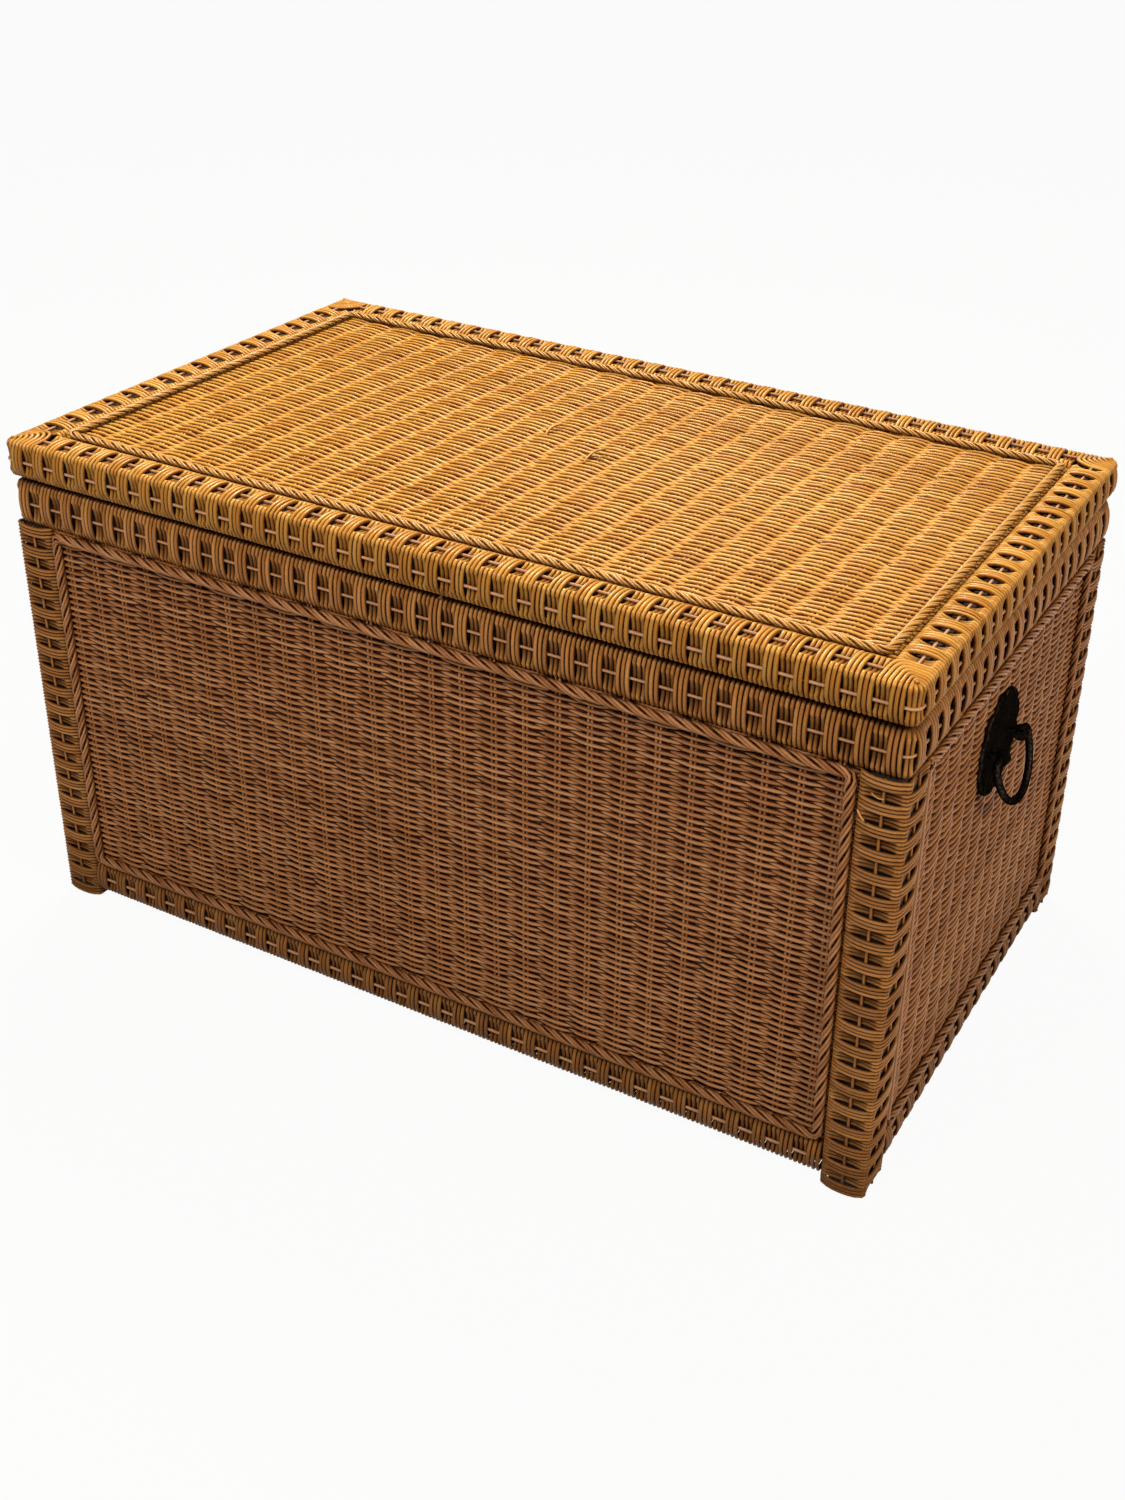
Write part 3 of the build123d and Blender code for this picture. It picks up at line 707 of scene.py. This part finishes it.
def bound_ring(prefix, body, reed, wrap, with_top, peak, crown, corner_kinds, insets, bends, side_shade):
    """The four bound poles of one frame, their nested corners and their binders."""
    x0, x1, y0, y1, z0, z1, depth = FRAMES[prefix]
    shape = section(depth, z1 - z0, insets, bends, peak, TOP_PEAK if with_top else None)
    # Painted shade where the lid and the rim meet: on the underside of the lid and on top of the rim.
    joint_side = -1 if prefix == "lid" else 1
    least_shade = JOINT_SHADE * np.clip(shape[1][:, 1] * joint_side, 0, 1) ** 3
    # Painted shade on the outer sides of the poles.
    least_shade = np.maximum(least_shade, side_shade * np.clip(shape[1][:, 0], 0, 1) ** 3)
    top_level, low_level = z1 - insets[1], z0 + insets[3]
    long_run, short_run = x1 - x0 - 2 * depth, y1 - y0 - 2 * depth
    runs = {
        "front": ((x0 + depth, y0 + depth, z0), (1, 0, 0), (0, -1, 0), long_run, LONG_TURNS),
        "back": ((x0 + depth, y1 - depth, z0), (1, 0, 0), (0, 1, 0), long_run, LONG_TURNS),
        "left": ((x0 + depth, y0 + depth, z0), (0, 1, 0), (-1, 0, 0), short_run, SHORT_TURNS),
        "right": ((x1 - depth, y0 + depth, z0), (0, 1, 0), (1, 0, 0), short_run, SHORT_TURNS),
    }
    for side, (start, axis, out, length, count) in runs.items():
        lines = bind(shape, start, axis, out, (0, 0, 1), length, count, RELIEF, least_shade,
                     flat=HINGE_SPOTS if side == "back" else ())
        mesh = lay_reeds(f"{prefix}_{side}", lines, WRAP, closed=True, seam=SEAM)
        place_piece(f"{prefix}_binding_{side}", mesh, reed, body, "reed_wrapping", f"{wrap}_{side}")
        corner_y = {"front": y0, "back": y1}.get(side)
        if corner_y is not None:
            nests = []
            for corner_x in (x0, x1):
                nests += nest_corner((corner_x, corner_y), low_level, top_level, depth,
                                     corner_kinds, insets[0], NEST_BEND, bends[1], bends[0],
                                     peak, RELIEF, crown, joint_side, side_shade)
            mesh = lay_reeds(f"{prefix}_{side}", nests, NEST_REED, closed=True, seam=SEAM)
            place_piece(f"{prefix}_corners_{side}", mesh, reed, body, "reed_wrapping")
    peak_height = low_level + bends[0] + peak * (top_level - bends[1] - low_level - bends[0])
    sink = insets[0] - 0.5
    ring = round_frame(x0 + sink, x1 - sink, y0 + sink, y1 - sink, NEST_BEND, peak_height)
    mesh = lay_reeds(prefix, [ring], BINDER, closed=True)
    place_piece(f"{prefix}_side_binder", mesh, binder_reed, body, "reed_wrapping")
    if with_top:
        inner = depth / 2 + 0.2
        level_z = top_level + 0.2
        rods = []
        for y in (y0 + inner, y1 - inner):
            spots = np.linspace(x0 + depth - 6, x1 - depth + 6, 60)
            rods.append(np.array([(x, y, level_z, 0.0) for x in spots]))
        for x in (x0 + inner, x1 - inner):
            spots = np.linspace(y0 + depth - 6, y1 - depth + 6, 40)
            rods.append(np.array([(x, y, level_z, 0.0) for y in spots]))
        mesh = lay_reeds(prefix, rods, BINDER, outward=(0, 0, 1))
        place_piece(f"{prefix}_top_binders", mesh, binder_reed, body, "reed_wrapping")


bound_ring("lid", "lid", honey_reed, "lid_rail_wrap", True, 0.42, 2.0, "uuooouuu",
           (INSET, INSET, SNUG, 3.0), (5.0, 3.4, 3.4, 4.0), 0.52)
bound_ring("rim", "trunk", amber_reed, "top_rail_wrap", False, 0.50, 0.6, "uooouuu",
           (INSET, 3.4, SNUG, SNUG), (4.0, 5.0, 4.0, 4.0), 0.0)

# %% [markdown]
# The bottom poles run between the posts, so they need no nested corners.

# %% Bound bottom poles
POST_X, POST_Y = 387, 203
BASE_BEND, BASE_PEAK = 4.0, 0.45
x0, x1, y0, y1, z0, z1, depth = FRAMES["base"]
bottom_shape = section(depth, z1 - z0, (INSET, SNUG, SNUG, SNUG), (BASE_BEND,) * 4, BASE_PEAK, None)
BOTTOM = {
    # side: (start, along, outward, length, turns)
    "front": ((-POST_X, y0 + depth, z0), (1, 0, 0), (0, -1, 0), 2 * POST_X, 189),
    "back": ((-POST_X, y1 - depth, z0), (1, 0, 0), (0, 1, 0), 2 * POST_X, 189),
    "left": ((x0 + depth, -POST_Y, z0), (0, 1, 0), (-1, 0, 0), 2 * POST_Y, 99),
    "right": ((x1 - depth, -POST_Y, z0), (0, 1, 0), (1, 0, 0), 2 * POST_Y, 99),
}
face_height = z1 - z0 - 2 * SNUG - 2 * BASE_BEND
binder_height = SNUG + BASE_BEND + BASE_PEAK * face_height
for side, (start, axis, out, length, count) in BOTTOM.items():
    lines = bind(bottom_shape, start, axis, out, (0, 0, 1), length, count, RELIEF)
    mesh = lay_reeds(side, lines, WRAP, closed=True, seam=SEAM)
    place_piece(f"base_binding_{side}", mesh, amber_reed, "trunk", "reed_wrapping",
                f"bottom_rail_wrap_{side}")
    spots = np.linspace(0, length, 60)
    middle = np.array(start) + np.array(out) * (depth + 0.5 - INSET) + np.array((0, 0, binder_height))
    rod = middle + np.outer(spots, axis)
    mesh = lay_reeds(side, [np.column_stack([rod, np.zeros(60)])], BINDER, outward=out)
    place_piece(f"base_binder_{side}", mesh, binder_reed, "trunk", "reed_wrapping")

# %% [markdown]
# The posts are bound with thinner reeds laid level, three over and three under, with a binder up
# the middle of each outer face. The arches sag a little, which opens a dark hole above each.

# %% Bound posts
POST_REED, POST_BINDER = 1.58, 1.4
POST_RELIEF = (2.0, 2.2, 2.0, 2.2)
POST_WIDTH, POST_DEPTH = 41, 44
POST_FOOT, POST_RUN, POST_TURNS, POST_SAG = 2.2, 396.6, 117, 1.2
MIDDLE_X, MIDDLE_Y, FACE_X, FACE_Y = 407.5, 225, 425.8, 244.8
post_shape = section(POST_WIDTH, POST_DEPTH, (2.2, 2.2, SNUG, SNUG), (3.2, 3.2, 3.2, 3.2), 0.5, 0.5)
for end_side, x_way in (("left", -1), ("right", 1)):
    for face_side, y_way in (("front", -1), ("back", 1)):
        start = (x_way * POST_X, y_way * POST_Y, POST_FOOT)
        lines = bind(post_shape, start, (0, 0, 1), (x_way, 0, 0), (0, y_way, 0), POST_RUN,
                     POST_TURNS, POST_RELIEF, side_first=False, sag=POST_SAG)
        mesh = lay_reeds("post", lines, POST_REED, closed=True, seam=SEAM)
        place_piece(f"post_binding_{face_side}_{end_side}", mesh, amber_reed, "trunk",
                    "reed_wrapping", f"post_wrap_{face_side}_{end_side}")
        heights = np.linspace(3, 397, 40)
        rods = []
        for x, y, way in ((x_way * FACE_X, y_way * MIDDLE_Y, (x_way, 0, 0)),
                          (x_way * MIDDLE_X, y_way * FACE_Y, (0, y_way, 0))):
            rods.append(np.array([(x, y, z, 0.0, *way) for z in heights]))
        mesh = lay_reeds("post", rods, POST_BINDER)
        place_piece(f"post_binders_{face_side}_{end_side}", mesh, amber_reed, "trunk",
                    "reed_wrapping")

# %% [markdown]
# A rope of reeds covers each edge where a panel meets the frame. Three plies of two reeds twist
# round one another, and the rope is flattened against the weave.

# %% Ropes
def round_path(corners, bend, step, closed):
    """Points along a flat path of straight runs with round corners, as pairs of across and up."""
    corners = [np.array(c, float) for c in corners]
    count = len(corners)
    line = []
    for index in range(count if closed else count - 1):
        here, there = corners[index], corners[(index + 1) % count]
        way = (there - here) / np.linalg.norm(there - here)
        first = here + way * bend if closed or index > 0 else here
        turns_after = closed or index < count - 2
        last = there - way * bend if turns_after else there
        pieces = max(2, round(float(np.linalg.norm(last - first)) / step))
        line += [first + (last - first) * share / pieces for share in range(pieces)]
        if not turns_after:
            line.append(last)
            continue
        beyond = corners[(index + 2) % count] - there
        beyond = beyond / np.linalg.norm(beyond)
        middle = last + beyond * bend
        line += [middle - beyond * bend * math.cos(t) + way * bend * math.sin(t)
                 for t in (0.0, math.pi / 4)]
    return np.array(line)


def along_path(centre, out, closed):
    """The way across a path at each point, the distance along it, and its whole length."""
    after = np.roll(centre, -1, axis=0) - np.roll(centre, 1, axis=0)
    if not closed:
        after[0], after[-1] = centre[1] - centre[0], centre[-1] - centre[-2]
    ahead = after / np.linalg.norm(after, axis=1)[:, None]
    steps = np.linalg.norm(np.roll(centre, -1, axis=0) - centre, axis=1)
    whole = steps.sum() if closed else steps[:-1].sum()
    return np.cross(ahead, out), np.concatenate([[0], np.cumsum(steps)[:-1]]), whole


def rope(centre, out, ply_pitch, half_width, half_depth, closed, spread=0.36):
    """Centre lines of the six reeds of a rope of three plies along a line of points."""
    centre, out = np.array(centre, float), np.array(out, float)
    across, run, whole = along_path(centre, out, closed)
    turns = round(whole / (ply_pitch * 3))
    lines = []
    for ply in range(3):
        for half in (-spread, spread):
            angle = -2 * np.pi * turns * run / whole + 2 * np.pi * ply / 3 + half
            place = (centre + across * (half_width * np.cos(angle))[:, None]
                     + np.outer(half_depth * np.sin(angle), out))
            # Painted shade where a ply turns in under the others.
            lines.append(np.column_stack([place, np.clip(0.3 - np.sin(angle), 0, 1)]))
    return lines


ROPE_REED, PLY_PITCH, ROPE_HALF_WIDTH, ROPE_HALF_DEPTH = 1.55, 15.5, 3.6, 2.9
ROPE_BEND, ROPE_STEP = 5.0, 3.4
ROPE_INSET, ROPE_FACE_X, ROPE_FACE_Y = 5.5, 425.0, 244.0
WALL_LOW, WALL_HIGH = FRAMES["base"][5], FRAMES["rim"][4]
rope_x, rope_y = POST_X - ROPE_INSET, POST_Y - ROPE_INSET
rope_low, rope_high = WALL_LOW + ROPE_INSET, WALL_HIGH - ROPE_INSET
for side, y_way in (("front", -1), ("back", 1)):
    flat_line = round_path([(-rope_x, rope_low), (rope_x, rope_low), (rope_x, rope_high),
                            (-rope_x, rope_high)], ROPE_BEND, ROPE_STEP, True)
    level = np.full(len(flat_line), y_way * ROPE_FACE_Y)
    line = np.column_stack([flat_line[:, 0], level, flat_line[:, 1]])
    lines = rope(line, (0, y_way, 0), PLY_PITCH, ROPE_HALF_WIDTH, ROPE_HALF_DEPTH, True)
    mesh = lay_reeds(side, lines, ROPE_REED, closed=True, outward=(0, y_way, 0))
    place_piece(f"{side}_rope", mesh, brown_reed, "trunk", "reed_braid", f"{side}_braid")

# %% [markdown]
# On each end wall the rope runs along the bottom, up the back post and along the top. At the
# front post there is only one straight cord.

# %% Ropes and cords of the ends
CORD_REED, CORD_FACE_X, CORD_Y, CORD_WANDER = 2.1, 425.4, -200.6, 0.3
for side, x_way in (("left", -1), ("right", 1)):
    flat_line = round_path([(-POST_Y, rope_low), (rope_y, rope_low), (rope_y, rope_high),
                            (-POST_Y, rope_high)], ROPE_BEND, ROPE_STEP, False)
    level = np.full(len(flat_line), x_way * ROPE_FACE_X)
    line = np.column_stack([level, flat_line[:, 0], flat_line[:, 1]])
    lines = rope(line, (x_way, 0, 0), PLY_PITCH, ROPE_HALF_WIDTH, ROPE_HALF_DEPTH, False)
    mesh = lay_reeds(side, lines, ROPE_REED, outward=(x_way, 0, 0))
    place_piece(f"{side}_rope", mesh, brown_reed, "trunk", "reed_braid", f"{side}_braid")
    heights = np.linspace(WALL_LOW + 0.5, WALL_HIGH - 0.5, 50)
    wander = CORD_Y + CORD_WANDER * draw.standard_normal(50)
    cord = np.column_stack([np.full(50, x_way * CORD_FACE_X), wander, heights, np.zeros(50)])
    mesh = lay_reeds(side, [cord], CORD_REED, outward=(x_way, 0, 0))
    place_piece(f"{side}_cord", mesh, binder_reed, "trunk", "reed_braid")

# %% [markdown]
# A paler rope of the same make lies round the top panel, in the groove beside the bound poles.

# %% Rope of the lid
LID_ROPE_REED, LID_PLY_PITCH, LID_ROPE_HALF_WIDTH, LID_ROPE_HALF_DEPTH = 1.25, 11.5, 3.2, 2.2
LID_ROPE_STEP, LID_ROPE_LEVEL = 3.0, 476.2
flat_line = round_path([(-387.0, -207.0), (387.0, -207.0), (387.0, 204.0), (-387.0, 204.0)],
                       ROPE_BEND, LID_ROPE_STEP, True)
line = np.column_stack([flat_line, np.full(len(flat_line), LID_ROPE_LEVEL)])
lines = rope(line, (0, 0, 1), LID_PLY_PITCH, LID_ROPE_HALF_WIDTH, LID_ROPE_HALF_DEPTH, True)
mesh = lay_reeds("lid", lines, LID_ROPE_REED, closed=True, outward=(0, 0, 1))
place_piece("lid_rope", mesh, straw_reed, "lid", "reed_braid", "lid_braid")

# %% [markdown]
# A few weavers have come loose with use: short pale ends stand up from the lid, one hangs from
# its front edge, and two tufts stand off the front right post.

# %% Loose ends
def loose_end(start, middle, end, count=7):
    """Centre line of one loose end, bent like a bow from start to end."""
    share = np.linspace(0, 1, count)[:, None]
    start, middle, end = (np.array(v, float) for v in (start, middle, end))
    line = (1 - share) ** 2 * start + 2 * share * (1 - share) * middle + share ** 2 * end
    return np.column_stack([line, np.zeros(count)])


ends = [
    loose_end((24, -14, 473), (22, 2, 480.0), (31, 12, 478.6)),
    loose_end((20, -4, 473), (27, 1, 477.5), (35, -3, 477)),
    loose_end((-38, 24, 473), (-41, 36, 478.5), (-34, 46, 477.5)),
    loose_end((34, -249.6, 455), (37, -251.2, 449), (33, -251, 443.5)),
]
mesh = lay_reeds("loose", ends, 1.0, outward=(0, 0, 1), uneven=0.3)
place_piece("lid_loose_ends", mesh, straw_reed, "lid", "reed_weave")
tufts = [
    loose_end((390, -248.2, 367), (393, -250.0, 363), (396, -249.0, 360)),
    loose_end((399, -247.6, 384), (404, -249.6, 381), (409, -248.2, 382)),
]
mesh = lay_reeds("loose", tufts, 0.7, outward=(0, -1, 0), uneven=0.3)
place_piece("post_loose_ends", mesh, straw_reed, "trunk", "reed_wrapping")

# %% [markdown]
# Inside each binding is a plain wooden pole. It shows only as a dark brown shade in the holes
# beside the arches, so a block with rounded edges and a dark, uneven wood is enough.

# %% Poles under the binding
pole_wood = new_material("pole_wood")
tree = pole_wood.node_tree
place = put_node(tree, "ShaderNodeTexCoord").outputs["Object"]
rings = noise(tree, place, 60.0, 5.0)
ramp = put_node(tree, "ShaderNodeValToRGB", {"Fac": rings})
ramp.color_ramp.elements[0].color = paint(22, 10, 4)
ramp.color_ramp.elements[1].color = paint(54, 30, 14)
surface = put_node(tree, "ShaderNodeBsdfPrincipled", {
    "Base Color": ramp.outputs["Color"], "Roughness": 0.7})
put_node(tree, "ShaderNodeOutputMaterial", {"Surface": surface.outputs[0]})
POLE_EDGE = 4


def pole(name, low, high, body, node):
    """A straight pole between two opposite corners in mm."""
    mesh = bpy.data.meshes.new(name)
    block = bmesh.new()
    bmesh.ops.create_cube(block, size=1.0)
    size = [(b - a) * MM for a, b in zip(low, high)]
    bmesh.ops.scale(block, vec=size, verts=block.verts)
    middle = [(a + b) / 2 * MM for a, b in zip(low, high)]
    bmesh.ops.translate(block, vec=middle, verts=block.verts)
    bmesh.ops.bevel(block, geom=block.edges[:], offset=POLE_EDGE * MM, segments=3, profile=0.5,
                    affect="EDGES", material=-1)
    block.to_mesh(mesh)
    block.free()
    place_piece(name, mesh, pole_wood, body, "frame_stick", node)


CORE, POST_CORE, POST_TOP = 7.8, 5.6, 398
x0, x1, y0, y1 = FRAMES["rim"][:4]
for end_side, xa, xb in (("left", x0, -POST_X), ("right", POST_X, x1)):
    for face_side, ya, yb in (("front", y0, -POST_Y), ("back", POST_Y, y1)):
        pole(f"post_pole_{face_side}_{end_side}", (xa + POST_CORE, ya + POST_CORE, 0),
             (xb - POST_CORE, yb - POST_CORE, POST_TOP), "trunk",
             f"post_stick_{face_side}_{end_side}")
STICKS = {"lid": "lid_rail_stick", "rim": "top_rail_stick", "base": "bottom_rail_stick"}
for prefix, (x0, x1, y0, y1, z0, z1, depth) in FRAMES.items():
    body = "lid" if prefix == "lid" else "trunk"
    stick = STICKS[prefix]
    end_x = POST_WIDTH if prefix == "base" else CORE
    end_y = POST_DEPTH if prefix == "base" else depth
    for side, ya, yb in (("front", y0, y0 + depth), ("back", y1 - depth, y1)):
        pole(f"{prefix}_pole_{side}", (x0 + end_x, ya + CORE, z0 + CORE),
             (x1 - end_x, yb - CORE, z1 - CORE), body, f"{stick}_{side}")
    for side, xa, xb in (("left", x0, x0 + depth), ("right", x1 - depth, x1)):
        pole(f"{prefix}_pole_{side}", (xa + CORE, y0 + end_y, z0 + CORE),
             (xb - CORE, y1 - end_y, z1 - CORE), body, f"{stick}_{side}")

# %% [markdown]
# The handles are cast iron under old black paint: dark, dented and a little glossy where hands
# rub it. The hinges have the same paint, worn thinner. A dark tint on the shallow reflections
# keeps the plates black where they are seen almost edge on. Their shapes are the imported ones,
# so only their materials change.

# %% Iron of the handles and of the hinges
def painted_iron(name, dark, worn, edge, gloss, dull):
    """Old black paint on iron; edge tints its shallow reflections."""
    made = new_material(name)
    tree = made.node_tree
    place = put_node(tree, "ShaderNodeTexCoord").outputs["Object"]
    dents = noise(tree, place, 90.0, 2.0)
    pits = noise(tree, place, 420.0, 4.0)
    ramp = put_node(tree, "ShaderNodeValToRGB", {"Fac": pits})
    ramp.color_ramp.elements[0].position = 0.40
    ramp.color_ramp.elements[0].color = paint(*dark)
    ramp.color_ramp.elements[1].position = 0.78
    ramp.color_ramp.elements[1].color = paint(*worn)
    rough = put_node(tree, "ShaderNodeMapRange", {
        "Value": dents, "To Min": gloss, "To Max": dull}).outputs[0]
    relief = calculate(tree, "MULTIPLY_ADD", dents, 3.0, pits)
    bump = put_node(tree, "ShaderNodeBump", {"Strength": 0.5, "Distance": 0.0006, "Height": relief})
    surface = put_node(tree, "ShaderNodeBsdfPrincipled", {
        "Base Color": ramp.outputs["Color"], "Roughness": rough, "Metallic": 1.0,
        "Normal": bump.outputs["Normal"], "Specular Tint": edge})
    put_node(tree, "ShaderNodeOutputMaterial", {"Surface": surface.outputs[0]})
    return made


black_iron = painted_iron("black_iron", (24, 20, 18), (70, 60, 52), (0.10, 0.09, 0.08, 1.0),
                          0.38, 0.60)
hinge_steel = painted_iron("hinge_steel", (34, 30, 27), (96, 84, 72), (0.3, 0.28, 0.25, 1.0),
                           0.36, 0.58)
for node_name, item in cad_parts.items():
    if node_name.startswith(("handle", "hinge")):
        for slot in item.material_slots:
            slot.material = black_iron if node_name.startswith("handle") else hinge_steel
print("iron fittings", [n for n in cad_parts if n.startswith(("handle", "hinge"))])

# %% [markdown]
# Last, the number of finished pieces is printed. The reeds should stand past the imported
# model by no more than the arches of the binding, a few millimetres.

# %% Number of finished pieces
print("pieces", len(made_pieces))
